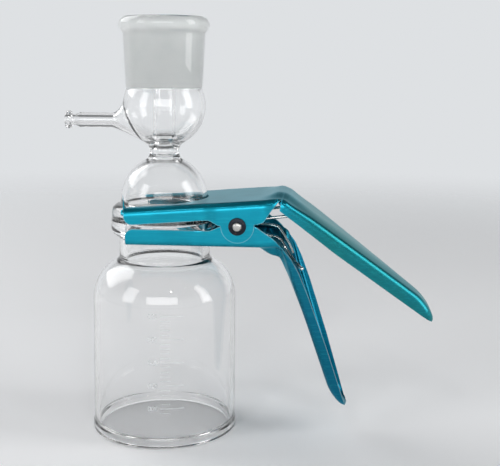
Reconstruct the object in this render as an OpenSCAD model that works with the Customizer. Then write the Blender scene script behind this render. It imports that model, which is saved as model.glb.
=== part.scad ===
// Vacuum filtration unit: an all-glass 47 mm filter holder, standing
// upside down on the mouth of its graduated funnel, with its spring clamp.
// Units: millimetres.  Z is up, the origin is the centre of the mouth
// plane.  The clamp's handles point along +X, the vacuum arm along -X.

/* [Funnel] */

// Outer radius of the cup wall
cup_r = 38.7;  // [30:0.1:50]
// Glass thickness of the cup
cup_wall = 2.5;  // [1.5:0.1:4]
// Height where the cup wall turns into the shoulder
shoulder_z = 72.3;  // [50:0.1:90]
// Radius of the rounded shoulder
shoulder_r = 23;  // [15:0.1:35]
// How far the mouth bead stands out past the cup wall
mouth_lip = 0.5;  // [0.2:0.1:3]
// Width and height of the mouth bead
mouth_bead = 4.6;  // [3:0.1:8]
// Corner radius of the mouth bead
mouth_corner = 1;  // [0.5:0.1:2.2]
// Outer radius of the short neck
neck_r = 24.5;  // [18:0.1:30]
// Radius of the fillet between shoulder and neck
neck_fillet = 3;  // [1:0.5:6]
// Bore radius of the neck
neck_bore_r = 20.8;  // [15:0.1:23]

/* [Flanges] */

// Height of the joint between funnel flange and base flange
seam_z = 115.2;  // [100:0.1:130]
// Thickness of the funnel flange
funnel_flange_t = 8.1;  // [4:0.1:12]
// Outer radius of the funnel flange
funnel_flange_r = 28.7;  // [25:0.1:32]
// Lower corner radius of the funnel flange
funnel_flange_corner = 3;  // [1:0.1:4]
// Thickness of the base flange
base_flange_t = 8;  // [4:0.1:12]
// Outer radius of the base flange
base_flange_r = 28.3;  // [25:0.1:32]
// Upper corner radius of the base flange
base_flange_corner = 3.5;  // [1:0.1:5]
// Small edge break on the ground faces
edge_break = 0.5;  // [0.2:0.1:1]

/* [Frit] */

// Radius of the sintered support disc
frit_r = 20;  // [15:0.1:22]
// Thickness of the sintered support disc
frit_t = 4;  // [2:0.1:6]
// Width of the glass ledge behind the disc
frit_ledge = 1.5;  // [0.5:0.1:3]

/* [Filter base] */

// Centre height of the dome above the flange
dome_z = 126;  // [120:0.1:135]
// Outer radius of the dome
dome_r = 23.4;  // [20:0.1:26]
// Glass thickness of the dome
dome_wall = 2.4;  // [1.5:0.1:4]
// Height of the narrowest place of the throat
throat_z = 151.65;  // [148:0.05:156]
// Outer radius of the throat
throat_r = 7.75;  // [6:0.05:10]
// Radius of the rounded groove that forms the throat
throat_groove = 5.6;  // [3:0.1:8]
// Centre height of the bulb
bulb_z = 176;  // [170:0.1:185]
// Outer radius of the bulb
bulb_r = 22.2;  // [18:0.1:26]
// Glass thickness of the bulb
bulb_wall = 2.1;  // [1.5:0.1:3]
// Outer radius of the drip tube
drip_r = 6.1;  // [4:0.1:8]
// Bore radius of the drip tube
drip_bore_r = 4.6;  // [3:0.1:6]
// Height where the drip tube ends inside the socket
drip_end_z = 213;  // [190:0.5:220]

/* [Ground socket] */

// Height of the socket mouth
top_z = 223.3;  // [215:0.1:235]
// Ground bore radius at the wide end
socket_bore_r = 20;  // [15:0.1:22]
// Length of the ground zone
socket_len = 35;  // [20:1:45]
// Outer radius of the socket at its lower end
socket_low_r = 20.6;  // [18:0.1:23]
// Outer radius of the socket where it enters the bead
socket_high_r = 22.2;  // [19:0.05:25]
// Outer radius of the rolled bead
bead_r = 24.35;  // [22:0.05:28]
// Height of the rolled bead
bead_h = 8.1;  // [4:0.1:10]

/* [Vacuum arm] */

// Height of the arm's axis
arm_z = 168.1;  // [160:0.1:180]
// Outer radius of the arm tube
arm_r = 4;  // [3:0.1:6]
// Bore radius of the arm
arm_bore_r = 1.9;  // [1:0.1:3]
// Distance of the arm's end from the axis
arm_end = 53.8;  // [45:0.1:70]
// Radius of the ring at the arm's end
arm_ring_r = 4.7;  // [3:0.1:7]
// Width of the ring at the arm's end
arm_ring_t = 3;  // [1:0.1:5]
// Radius of the narrow neck before the ring
arm_neck_r = 2.9;  // [2.3:0.1:4]
// Length of the narrow neck before the ring
arm_neck_len = 3;  // [1:0.1:8]
// Distance from the axis at which the arm's flare starts, inside the bulb
arm_root = 13;  // [10:0.5:17]
// Radius of the arm's flare where it starts
arm_flare_r = 8.6;  // [5:0.1:11]

/* [Clamp] */

// Thickness of the clamp's aluminium sheet
sheet = 1.5;  // [0.8:0.1:3]
// Distance of the hinge pin from the glass axis
pivot_x = 42.7;  // [35:0.1:50]
// Height of the hinge pin
pivot_z = 116.5;  // [110:0.1:120]
// Gap between a side flange and the widest glass flange
side_gap = 0.3;  // [0.1:0.1:1]
// Gap between the two levers' ears
ear_gap = 0.3;  // [0.1:0.1:1]
// Reach of the jaws beyond the pin, toward the glass
jaw_len = 58.5;  // [50:0.5:65]
// Half width of the horseshoe slot round the glass
slot_r = 24.9;  // [24:0.1:28]
// Depth of the side flanges along the jaws
flange_h = 8.4;  // [5:0.1:11]
// Radius of the ear lobe round the pin
lobe_r = 8.6;  // [6:0.1:12]
// Distance from the pin to the start of the bend
bend_x = 22;  // [20:0.1:30]
// Radius of the bend, measured on the sheet's hollow face
bend_r = 3;  // [1:0.5:8]
// Outer radius of the long folds
fold_r = 3;  // [1.6:0.1:5]
// Radius of the handle's rounded tip
tip_r = 9.5;  // [6:0.5:15]
// Radius of the long folds of the handles
handle_fold = 4.5;  // [2:0.5:6]
// Radius of the nose that closes the tip, seen from the side
nose_r = 30;  // [12:1:60]

/* [Upper lever] */

// Height of the upper web's outer face above the pin
upper_web = 12.3;  // [10:0.1:15]
// Upward tilt of the upper jaw, closed on the glass
upper_tilt = 4.5;  // [0:0.1:8]
// Angle between the upper jaw and its handle
upper_bend = 41.2;  // [20:0.1:60]
// Length of the upper handle
upper_len = 102.5;  // [60:0.5:130]
// Half width of the upper handle at its root
upper_half = 29;  // [15:0.5:31]
// Depth of the upper handle's side flanges at the root
upper_depth0 = 5.4;  // [2.5:0.1:9]
// Depth of the upper handle's side flanges at the tip
upper_depth1 = 7.2;  // [4:0.1:12]

/* [Lower lever] */

// Depth of the lower web's outer face below the pin
lower_web = 11.3;  // [8:0.1:15]
// Angle between the lower jaw and its handle
lower_bend = 72;  // [40:0.5:85]
// Length of the lower handle
lower_len = 93.5;  // [60:0.5:130]
// Half width of the lower handle at its root
lower_half = 29;  // [15:0.5:31]
// Depth of the lower handle's side flanges at the root
lower_depth0 = 3;  // [2.5:0.1:9]
// Depth of the lower handle's side flanges at the tip
lower_depth1 = 5;  // [4:0.1:12]

/* [Hinge] */

// Radius of the hinge pin
pin_r = 2.4;  // [1.5:0.1:4]
// Radial running clearance of the pin in the ears
pin_play = 0.06;  // [0.02:0.01:0.1]
// Length of pin standing out of each ear
pin_stand = 2.4;  // [1:0.1:4]
// Outer radius of the retaining rings
ring_r = 4.5;  // [3:0.1:7]
// Thickness of the retaining rings
ring_t = 0.9;  // [0.5:0.1:2]
// Gap between ring and ear
ring_gap = 0.3;  // [0.1:0.1:0.6]

/* [Spring] */

// Radius of the spring wire
wire_r = 0.8;  // [0.4:0.1:1.5]
// Gap between coil and pin
coil_gap = 0.3;  // [0.1:0.1:1]
// Number of turns in each coil
turns = 5;  // [2:1:10]
// Half distance between the spring's two long legs
leg_y = 11;  // [5:0.5:20]
// Gap between the spring's legs and the levers they press on
leg_gap = 0.3;  // [0.1:0.1:0.6]
// Reach of the spring down the lower handle, past the bend
foot_reach = 14;  // [6:0.5:40]
// Reach of the spring down the upper handle, past the bend
tip_reach = 7;  // [3:0.5:40]

/* [Part] */

// Node to draw

/* [Hidden] */

$fn = 96;

cup_bore_r = cup_r - cup_wall;
mouth_r = cup_r + mouth_lip;
shoulder_c = cup_r - shoulder_r;
neck_fillet_x = neck_r + neck_fillet;
neck_fillet_z = shoulder_z + sqrt(pow(shoulder_r + neck_fillet, 2)
                                  - pow(neck_fillet_x - shoulder_c, 2));
shoulder_k = shoulder_r / (shoulder_r + neck_fillet);
shoulder_end_x = shoulder_c + (neck_fillet_x - shoulder_c) * shoulder_k;
shoulder_end_z = shoulder_z + (neck_fillet_z - shoulder_z) * shoulder_k;
flange_low_z = seam_z - funnel_flange_t;
flange_top_z = seam_z + base_flange_t;

groove_x = throat_r + throat_groove;
groove_k1 = dome_r / (dome_r + throat_groove);
groove_k2 = bulb_r / (bulb_r + throat_groove);
socket_z0 = top_z - socket_len - 2;
socket_bore_low = socket_bore_r - socket_len / 20;
bead_c = bead_h / 1.8;

lower_out = funnel_flange_r + side_gap + sheet;
upper_out = lower_out + ear_gap + sheet;
pin_half = upper_out + pin_stand;
coil_r = pin_r + coil_gap + wire_r;
coil_pitch = 2 * wire_r - 0.1;
// The spring's straight runs are this much thinner than its coils.
hair = 0.04;
// Extra on a long fold's radius, trimmed off again by the handle's plan.
trim = 0.1;
// Degrees by which a bend reaches into its handle.
bend_lap = 4;

// Spring points beside the pin, as [x, z].  The lower leg follows the
// hollow face of the lower bend, the upper leg ends under the upper handle.
leg_rest = wire_r + leg_gap;
low_c = [bend_x, -lower_web - bend_r];
low_k = bend_r + sheet + leg_rest;
knee = low_c + low_k / cos(lower_bend / 2)
    * [sin(lower_bend / 2), cos(lower_bend / 2)];
foot = low_c + low_k * [sin(lower_bend), cos(lower_bend)]
    + foot_reach * [cos(lower_bend), -sin(lower_bend)];
up_c = [bend_x, upper_web - sheet - bend_r];
up_k = bend_r - leg_rest;
up_end = up_c + up_k * [sin(upper_bend), cos(upper_bend)]
    + tip_reach * [cos(upper_bend), -sin(upper_bend)];
upper_leg = [up_end[0] * cos(upper_tilt) - up_end[1] * sin(upper_tilt),
             up_end[0] * sin(upper_tilt) + up_end[1] * cos(upper_tilt)];

// ---- colours ----
module glass() color([0.85, 0.92, 0.92, 0.35]) children();
module frosted() color([0.95, 0.95, 0.93]) children();
module anodised() color([0.10, 0.55, 0.60]) children();
module steel() color([0.75, 0.75, 0.72]) children();
module dark_steel() color([0.22, 0.18, 0.17]) children();

// ---- plain helpers ----
module ring2d(r0, r1, z0, z1) translate([r0, z0]) square([r1 - r0, z1 - z0]);

module rounded2d(x0, x1, z0, z1, r) {
    ring2d(x0 + r, x1 - r, z0, z1);
    ring2d(x0, x1, z0 + r, z1 - r);
    for (x = [x0 + r, x1 - r], z = [z0 + r, z1 - r])
        translate([x, z]) circle(r = r);
}

// ---- funnel ----
module funnel_outline() {
    rounded2d(mouth_r - mouth_bead, mouth_r, 0, mouth_bead, mouth_corner);
    ring2d(0, cup_r, mouth_bead / 2, shoulder_z);
    intersection() {
        translate([shoulder_c, shoulder_z]) circle(r = shoulder_r);
        ring2d(0, cup_r, shoulder_z - 1, seam_z);
    }
    difference() {
        polygon([[0, shoulder_z], [shoulder_end_x, shoulder_z],
                 [shoulder_end_x, shoulder_end_z],
                 [neck_fillet_x, neck_fillet_z],
                 [neck_r, neck_fillet_z], [neck_r, seam_z - 1],
                 [0, seam_z - 1]]);
        translate([neck_fillet_x, neck_fillet_z]) circle(r = neck_fillet);
    }
    ring2d(0, funnel_flange_r, flange_low_z + funnel_flange_corner,
           seam_z - edge_break);
    ring2d(0, funnel_flange_r - edge_break, seam_z - 2 * edge_break, seam_z);
    ring2d(0, funnel_flange_r - funnel_flange_corner, flange_low_z,
           seam_z - edge_break);
    intersection() {
        translate([funnel_flange_r - funnel_flange_corner,
                   flange_low_z + funnel_flange_corner])
            circle(r = funnel_flange_corner);
        ring2d(0, funnel_flange_r, flange_low_z, seam_z - edge_break);
    }
}

module funnel_void() {
    ring2d(-1, mouth_r - mouth_bead, -1, mouth_bead / 2);
    ring2d(-1, cup_bore_r, mouth_bead - mouth_corner / 2, shoulder_z);
    polygon([[-1, -1], [mouth_r - mouth_bead, mouth_bead / 2 - 0.1],
             [cup_bore_r, mouth_bead], [-1, mouth_bead]]);
    intersection() {
        translate([shoulder_c, shoulder_z])
            circle(r = shoulder_r - cup_wall);
        ring2d(-1, cup_r, shoulder_z - 1, seam_z);
    }
    ring2d(-1, neck_bore_r, shoulder_z, seam_z + 1);
}

module funnel() glass() rotate_extrude() intersection() {
    difference() {
        funnel_outline();
        funnel_void();
    }
    ring2d(0, mouth_r + 1, 0, seam_z);
}

// ---- filter base ----
module base_outline() {
    ring2d(0, base_flange_r - edge_break, seam_z, seam_z + 1);
    ring2d(0, base_flange_r, seam_z + edge_break,
           flange_top_z - base_flange_corner);
    ring2d(0, base_flange_r - base_flange_corner, seam_z, flange_top_z);
    intersection() {
        translate([base_flange_r - base_flange_corner,
                   flange_top_z - base_flange_corner])
            circle(r = base_flange_corner);
        ring2d(0, base_flange_r, seam_z + edge_break, flange_top_z);
    }
    intersection() {
        translate([0, dome_z]) circle(r = dome_r);
        ring2d(0, dome_r + 1, seam_z + 1, throat_z);
    }
    difference() {
        polygon([[0, dome_z],
                 [groove_x * groove_k1,
                  dome_z + (throat_z - dome_z) * groove_k1],
                 [groove_x * groove_k2,
                  bulb_z - (bulb_z - throat_z) * groove_k2],
                 [0, bulb_z]]);
        translate([groove_x, throat_z]) circle(r = throat_groove);
    }
    translate([0, bulb_z]) circle(r = bulb_r);
    polygon([[0, bulb_z], [socket_low_r - 0.6, bulb_z],
             [socket_low_r, socket_z0], [socket_high_r, top_z - bead_c],
             [0, top_z - bead_c]]);
    intersection() {
        union() {
            translate([bead_r - bead_c, top_z - bead_c + 0.2])
                circle(r = bead_c);
            ring2d(0, bead_r - bead_c, top_z - bead_c, top_z + 1);
        }
        ring2d(0, bead_r + 1, bulb_z, top_z);
    }
}

module base_void() {
    ring2d(-1, frit_r, seam_z - 1, seam_z + frit_t);
    intersection() {
        translate([0, dome_z]) circle(r = dome_r - dome_wall);
        ring2d(-1, frit_r - frit_ledge, seam_z + 1, throat_z);
    }
    intersection() {
        translate([0, dome_z]) circle(r = dome_r - dome_wall);
        ring2d(-1, dome_r, flange_top_z, throat_z);
    }
    ring2d(-1, drip_bore_r, dome_z, top_z + 1);
    difference() {
        union() {
            translate([0, bulb_z]) circle(r = bulb_r - bulb_wall);
            polygon([[0, bulb_z], [socket_bore_low - 0.5, bulb_z],
                     [socket_bore_low, socket_z0],
                     [socket_bore_r, socket_z0 + socket_len],
                     [socket_bore_r + 0.4, top_z + 0.1], [0, top_z + 0.1]]);
        }
        ring2d(0, drip_r, throat_z, drip_end_z);
    }
}

module half_plane() ring2d(0, 60, -10, top_z + 10);

module arm_outer() {
    tube = arm_end - arm_ring_t - arm_neck_len;
    translate([0, 0, arm_root]) cylinder(r = arm_r, h = tube - 2 - arm_root);
    translate([0, 0, tube - 2]) cylinder(r1 = arm_r, r2 = arm_neck_r, h = 2);
    translate([0, 0, arm_root])
        cylinder(r = arm_neck_r, h = arm_end - 0.5 - arm_root);
    translate([0, 0, arm_root])
        cylinder(r1 = arm_flare_r, r2 = arm_r, h = bulb_r + 2.6 - arm_root);
    translate([0, 0, arm_end - arm_ring_t]) intersection() {
        cylinder(r = arm_ring_r, h = arm_ring_t);
        translate([0, 0, arm_ring_t / 2]) sphere(r = arm_ring_r + 0.12);
    }
}

module filter_base() glass() difference() {
    union() {
        rotate_extrude() intersection() {
            difference() {
                base_outline();
                base_void();
            }
            half_plane();
        }
        difference() {
            translate([0, 0, arm_z]) rotate([0, -90, 0]) arm_outer();
            translate([0, 0, bulb_z]) sphere(r = bulb_r - bulb_wall);
        }
    }
    translate([-arm_end - 1, 0, arm_z]) rotate([0, 90, 0])
        cylinder(r = arm_bore_r, h = arm_end - 12);
}

// ---- frit ----
module frit_disc() frosted() translate([0, 0, seam_z])
    cylinder(r = frit_r, h = frit_t);

// ---- clamp levers, drawn round the pin, web upward, handle to +X ----
module channel(half, web) intersection() {
    translate([-jaw_len, 0, 0]) rotate([90, 0, 90])
        linear_extrude(jaw_len + bend_x) difference() {
            channel2d(half, web, fold_r);
            channel2d(half - sheet, web - sheet, fold_r - sheet);
        }
    rotate([90, 0, 0]) linear_extrude(2 * half + 2, center = true)
        ear2d(web);
}

module channel2d(half, web, r) {
    ring2d(-half, half, -lobe_r - 1, web - r);
    ring2d(r - half, half - r, -lobe_r - 1, web);
    for (s = [-1, 1]) translate([s * (half - r), web - r]) circle(r = r);
}

module ear2d(web) {
    edge = web - flange_h;
    difference() {
        union() {
            circle(r = lobe_r);
            translate([6 - jaw_len, edge])
                square([jaw_len - 6, web - edge]);
            translate([-jaw_len, web - 2]) square([8, 2]);
            intersection() {
                translate([6 - jaw_len, web - 2]) circle(r = 6);
                translate([-jaw_len, edge]) square([8, web - edge]);
            }
            polygon([[-14, edge], [-lobe_r, 0.6], [lobe_r, 0.2],
                     [lobe_r + 1, 0.2], [bend_x - 4.6, web * 0.52],
                     [bend_x - 1.6, web - sheet - 0.9],
                     [bend_x, web - sheet - 0.9], [bend_x, web],
                     [-14, web]]);
        }
        translate([-lobe_r - 3.4, edge - 2.2]) circle(r = 2.2);
    }
}

module slot() {
    translate([-pivot_x, 0, -30]) cylinder(r = slot_r, h = 60);
    translate([-jaw_len - 1, -slot_r, -30])
        cube([jaw_len + 1 - pivot_x, 2 * slot_r, 60]);
}

// Plan of a handle: straight sides tangent to a round tip at c.
module handle_plan(c, a, half, r) {
    polygon([[0, -half], [c + r * sin(a), -r * cos(a)],
             [c + r * sin(a), r * cos(a)], [0, half]]);
    translate([c, 0]) circle(r = r);
}

// Middle strip of that plan, inside its folds.
module handle_strip(len, a, half, f) {
    h0 = half - f / cos(a);
    h1 = h0 - len * tan(a);
    polygon([[0, -h0], [len, -h1], [len, h1], [0, h0]]);
}

// Solid with that plan, depth d, its long upper edges rounded by f.
module handle_solid(c, a, half, r, f, d) intersection() {
    translate([0, 0, -d]) linear_extrude(d) handle_plan(c, a, half, r);
    union() {
        translate([0, 0, -d]) linear_extrude(d - f)
            handle_plan(c, a, half + 1, r + 1);
        translate([0, 0, -d]) linear_extrude(d + 1)
            handle_strip(c + r + 1, a, half, f);
        for (s = [-1, 1])
            translate([c + (r - f) * sin(a), s * (r - f) * cos(a), -f])
                rotate([0, -90, -s * a]) translate([0, 0, -15])
                    cylinder(r = f + trim, h = 15 + (c + r * sin(a)) / cos(a));
    }
}

module handle_side(len, r, d0, d1) rotate([90, 0, 0])
    linear_extrude(80, center = true) intersection() {
        polygon([[0, -d0], [len + 1, -d1], [len + 1, 1], [0, 1]]);
        union() {
            translate([-1, -20]) square([len - 17, 21]);
            translate([len - 18, -nose_r]) circle(r = r);
        }
    }

module handle(len, half, d0, d1) {
    c = len - tip_r;
    a = acos(tip_r / sqrt(half * half + c * c)) - atan2(c, half);
    intersection() {
        difference() {
            handle_solid(c, a, half, tip_r, handle_fold, 14);
            intersection() {
                translate([0, 0, -sheet])
                    handle_solid(c, a, half - sheet / cos(a),
                                 tip_r - sheet, handle_fold - sheet, 14);
                translate([-1, 0, -sheet])
                    handle_side(len + 1, nose_r - sheet, 20, 20);
            }
        }
        handle_side(len, nose_r, d0, d1);
    }
}

module bend_arc(r, angle, half) rotate([90, 0, 0])
    linear_extrude(2 * half, center = true) intersection() {
        difference() {
            circle(r = r + sheet);
            circle(r = r);
        }
        polygon([[0, 0], [0, 20], [20 * tan(angle / 2), 20],
                 [20 * sin(angle + bend_lap), 20 * cos(angle + bend_lap)]]);
    }

module pin_hole(half) rotate([90, 0, 0])
    cylinder(r = pin_r + pin_play, h = 2 * half + 2, center = true);

module upper_lever() anodised() translate([pivot_x, 0, pivot_z])
    rotate([0, -upper_tilt, 0]) difference() {
        union() {
            channel(upper_out, upper_web);
            translate([bend_x, 0, upper_web - sheet - bend_r]) {
                bend_arc(bend_r, upper_bend, upper_half);
                rotate([0, upper_bend, 0])
                    translate([0, 0, bend_r + sheet])
                        handle(upper_len, upper_half, upper_depth0,
                               upper_depth1);
            }
        }
        slot();
        pin_hole(upper_out);
    }

module lower_lever() anodised() translate([pivot_x, 0, pivot_z])
    mirror([0, 0, 1]) difference() {
        union() {
            channel(lower_out, lower_web);
            translate([bend_x, 0, lower_web + bend_r]) {
                mirror([0, 0, 1])
                    bend_arc(bend_r, lower_bend, lower_half);
                rotate([0, -lower_bend, 0]) translate([0, 0, -bend_r])
                    handle(lower_len, lower_half, lower_depth0,
                           lower_depth1);
            }
        }
        slot();
        pin_hole(lower_out);
    }

// ---- hinge ----
module pivot_pin() steel() translate([pivot_x, 0, pivot_z])
    rotate([90, 0, 0]) intersection() {
        cylinder(r = pin_r, h = 2 * pin_half, center = true);
        sphere(r = pin_half);
    }

module retaining_ring(side) dark_steel()
    translate([pivot_x, side * (upper_out + ring_gap), pivot_z])
        rotate([side * -90, 0, 0]) difference() {
            cylinder(r = ring_r, h = ring_t);
            translate([0, 0, -1]) cylinder(r = pin_r, h = ring_t + 2);
        }

// ---- spring ----
module rod(p, q) {
    v = q - p;
    translate(p) rotate([0, acos(v[2] / norm(v)), atan2(v[1], v[0])])
        cylinder(r = wire_r - hair, h = norm(v));
    translate(q) sphere(r = wire_r);
}

module torsion_spring() steel() translate([pivot_x, 0, pivot_z]) {
    for (s = [-1, 1]) {
        for (i = [0 : turns - 1])
            translate([0, s * (leg_y + coil_pitch * i), 0])
                rotate([90, 0, 0]) rotate_extrude()
                    translate([coil_r, 0]) circle(r = wire_r);
        rod([0, s * leg_y, coil_r], [upper_leg[0], s * leg_y, upper_leg[1]]);
        rod([0, s * leg_y, -coil_r], [knee[0], s * leg_y, knee[1]]);
        rod([knee[0], s * leg_y, knee[1]], [foot[0], s * leg_y, foot[1]]);
    }
    rod([foot[0], -leg_y, foot[1]], [foot[0], leg_y, foot[1]]);
}

funnel();
filter_base();
frit_disc();
lower_lever();
upper_lever();
pivot_pin();
retaining_ring(-1);  // near_retaining_ring
retaining_ring(1);  // far_retaining_ring
torsion_spring();
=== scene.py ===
import bpy
import bmesh
import math
import numpy as np
from mathutils import Matrix, Vector


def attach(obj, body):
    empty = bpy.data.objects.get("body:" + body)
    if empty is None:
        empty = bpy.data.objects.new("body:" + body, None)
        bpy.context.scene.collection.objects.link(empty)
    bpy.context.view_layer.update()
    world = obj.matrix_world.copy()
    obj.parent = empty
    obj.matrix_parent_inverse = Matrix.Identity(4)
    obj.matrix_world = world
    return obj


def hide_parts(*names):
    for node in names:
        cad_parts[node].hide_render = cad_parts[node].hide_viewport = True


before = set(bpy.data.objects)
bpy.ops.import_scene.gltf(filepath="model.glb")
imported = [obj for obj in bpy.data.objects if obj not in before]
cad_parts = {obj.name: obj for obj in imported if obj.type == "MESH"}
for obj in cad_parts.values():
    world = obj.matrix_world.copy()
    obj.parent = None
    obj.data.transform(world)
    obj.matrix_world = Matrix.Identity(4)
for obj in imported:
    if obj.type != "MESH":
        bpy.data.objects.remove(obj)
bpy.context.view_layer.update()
MM = 0.001

# ------------------------------------------------------------------ sizes, mm
CUP_R, CUP_WALL = 38.7, 2.5
SHOULDER_Z, SHOULDER_R = 72.3, 23.0
MOUTH_R, MOUTH_BEAD = 39.2, 4.6
NECK_R, NECK_BORE = 24.5, 20.8
SEAM_Z, FUNNEL_FLANGE_T, FUNNEL_FLANGE_R = 115.2, 8.1, 28.7
BASE_FLANGE_T, BASE_FLANGE_R = 8.0, 28.3
FRIT_R, FRIT_T = 20.0, 4.0
DOME_Z, DOME_R, DOME_WALL = 126.0, 23.4, 2.4
THROAT_Z, THROAT_R, THROAT_GROOVE = 151.65, 7.75, 5.6
BULB_Z, BULB_R, BULB_WALL = 176.0, 22.2, 2.1
DRIP_R, DRIP_BORE, DRIP_END = 6.1, 4.6, 213.0
TOP_Z, BEAD_R, BEAD_C = 223.3, 24.35, 4.5
SOCKET_BORE, SOCKET_LEN = 20.0, 35.0
SOCKET_LOW, SOCKET_HIGH = 20.6, 22.2
ARM_Z, ARM_END, ARM_R, ARM_BORE, ARM_ROOT = 168.1, 53.8, 4.0, 1.9, 28.0
SHEET = 1.5
PIVOT = (42.7, 0.0, 116.5)
PIN_R, PIN_HALF, PIN_PLAY = 2.4, 34.7, 0.06
RING_R, RING_IN, RING_T, RING_Y = 4.5, 2.46, 0.9, 32.6
WIRE_R, COIL_R, TURNS, COIL_LONG, LEG_Y = 0.8, 3.5, 4, 7.7, 13.5
MOUTH_IN = MOUTH_R - MOUTH_BEAD
PATCH_LOW, PATCH_HIGH, PATCH_WIDE, PATCH_DEPTH = 25.5, 38.5, 30.0, 0.9   # degrees, and mm
SUNK, DIVE = 0.12, 0.06                             # the blown root's end under the ball; its slant in
TUBE_PULL, BALL_PULL = (0.55, 0.25), (0.95, 0.15)   # its end slopes in chords: mean, and more on top
NECK_BLEND = 3.0      # hollow between shoulder and neck
STEP = 1.6            # length of a facet along the glass profiles
WELD = 0.0005         # doubles closer than this are one point
CAP_RINGS = 5         # rings in the domed end of a wire
RIM_REACH = 4.0       # farthest distance from a sheet's edge that is told apart
CORNER_SHARE = 0.45   # of a wire's shorter side that its rounded corner may take
STRAIGHT = 0.02       # radians; a wire's corner that turns by less than twice this is left alone
LEG_ROUND = 3.0       # radius of the corners of the spring's legs
LAP = 26              # degrees of coil end that are thinned inside the upper legs' piece
THINNED = 0.03        # and by how much


# ------------------------------------------------------------------ meshes
def around(n):
    """n even angles round a circle, from 0."""
    return np.linspace(0, 2 * math.pi, n, endpoint=False)


def arc(cx, cz, r, a0, a1, n):
    """Points of a circular arc about (cx, cz): centre plus r times (cos a, sin a), a even from a0 to a1
    in degrees."""
    a = np.radians(np.linspace(a0, a1, n))
    return np.stack([cx + r * np.cos(a), cz + r * np.sin(a)], 1)


def corner_arc(p, u, v, r, n):
    """Arc of radius r in n points that touches both sides of a corner at p, whose sides run along the unit
    vectors u and v: its centre lies r / sin(half) along their bisector, half being half their angle."""
    half = math.acos(np.clip(u @ v, -1, 1)) / 2
    centre = p + (u + v) / np.linalg.norm(u + v) * r / math.sin(half)
    a, b = p + u * (r / math.tan(half)) - centre, p + v * (r / math.tan(half)) - centre
    turn = math.pi - 2 * half
    w = np.linspace(0, 1, n)[:, None]
    return centre + (np.sin((1 - w) * turn) * a + np.sin(w * turn) * b) / math.sin(turn)


def filleted(corners, n=8):
    """A polyline whose corners (x, z, radius) become tangent arcs of n points; radius 0 keeps a corner."""
    c = np.array(corners, float)
    out = []
    for i in range(len(c)):
        p, r = c[i, :2], c[i, 2]
        if r <= 0 or i in (0, len(c) - 1):
            out.append(p[None])
            continue
        u, v = c[i - 1, :2] - p, c[i + 1, :2] - p
        out.append(corner_arc(p, u / np.linalg.norm(u), v / np.linalg.norm(v), r, n))
    return np.concatenate(out)


def hermite(t, p0, m0, p1, m1):
    """Cubic from p0 to p1 with end slopes m0 and m1, at t from 0 to 1."""
    return ((2 * t ** 3 - 3 * t ** 2 + 1) * p0 + (t ** 3 - 2 * t ** 2 + t) * m0
            + (-2 * t ** 3 + 3 * t ** 2) * p1 + (t ** 3 - t ** 2) * m1)


def resampled(path, step):
    """The polyline cut into equal steps of about the given length, corners kept."""
    out = [path[0][None]]
    d = np.linalg.norm(np.diff(path, axis=0), axis=1)
    for p, q, length in zip(path[:-1], path[1:], d):
        k = max(1, int(round(length / step)))
        w = np.arange(1, k + 1)[:, None] / k
        out.append(p + (q - p) * w)
    return np.concatenate(out)


def grid_faces(rows, cols, close_rows=False, close_cols=False):
    """Quads of a rows by cols grid of points, wrapped round where asked."""
    r = np.arange(rows if close_rows else rows - 1)
    c = np.arange(cols if close_cols else cols - 1)
    i, j = np.meshgrid(r, c, indexing="ij")
    i2, j2 = (i + 1) % rows, (j + 1) % cols
    return np.stack([i * cols + j, i2 * cols + j, i2 * cols + j2, i * cols + j2], -1).reshape(-1, 4)


def linked(name, data):
    """A new object in the scene that shows the data."""
    obj = bpy.data.objects.new(name, data)
    bpy.context.scene.collection.objects.link(obj)
    return obj


def mesh_object(name, co, faces, body, smooth=True, merge=0.0):
    """One mesh object from points in millimetres and faces, doubles merged, normals outward."""
    mesh = bpy.data.meshes.new(name)
    faces = faces if isinstance(faces, list) else faces.tolist()
    mesh.from_pydata((np.asarray(co, float) * MM).tolist(), [], faces)
    bm = bmesh.new()
    bm.from_mesh(mesh)
    if merge:
        bmesh.ops.remove_doubles(bm, verts=bm.verts, dist=merge * MM)
        bmesh.ops.dissolve_degenerate(bm, edges=bm.edges, dist=merge * MM * 0.5)
    bmesh.ops.recalc_face_normals(bm, faces=bm.faces)
    bm.to_mesh(mesh)
    bm.free()
    mesh.polygons.foreach_set("use_smooth", [smooth] * len(mesh.polygons))
    obj = linked(name, mesh)
    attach(obj, body)
    return obj


def skin(name, co, closed, body):
    """A surface over rings of points; closed joins the last ring to the first."""
    return mesh_object(name, co.reshape(-1, 3), grid_faces(*co.shape[:2], closed, True), body,
                       merge=WELD)


def revolved(name, profile, body, sides=192):
    """A closed (radius, height) profile turned about the Z axis: (r cos a, r sin a, z)."""
    a = around(sides)
    co = np.stack([profile[:, 0, None] * np.cos(a), profile[:, 0, None] * np.sin(a),
                   np.broadcast_to(profile[:, 1, None], (len(profile), sides))], -1)
    return skin(name, co, True, body)


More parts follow.
